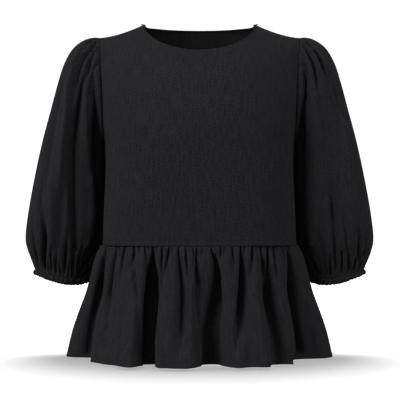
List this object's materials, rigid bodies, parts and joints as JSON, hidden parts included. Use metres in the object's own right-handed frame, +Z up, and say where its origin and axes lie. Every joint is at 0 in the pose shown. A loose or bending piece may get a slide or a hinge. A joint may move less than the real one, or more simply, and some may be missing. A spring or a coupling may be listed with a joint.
{
  "type": "blouse",
  "caption": "Worn-form pull-on blouse: round neck, puff three-quarter sleeves gathered into narrow ruched cuffs, and a gathered, flared peplum below a level waist seam.",
  "frame": {"origin": "middle of the neck opening, level with the neck ends of the shoulder seams, where the wearer's shoulders hold the blouse", "axes": "+Z up, +X to the right seen from the front, the front faces -Y"},
  "size_m": [0.6352, 0.3639, 0.592],
  "materials": {
    "crepe_cloth": "matt black slubbed crepe",
    "elastic_casing": "matt black crepe ruched over elastic"
  },
  "bodies": {
    "root": {"bodice_front": "crepe_cloth", "bodice_back": "crepe_cloth", "sleeve_left": "crepe_cloth", "sleeve_right": "crepe_cloth", "cuff_left": "elastic_casing", "cuff_right": "elastic_casing", "peplum_front": "crepe_cloth", "peplum_back": "crepe_cloth"}
  },
  "joints": []
}
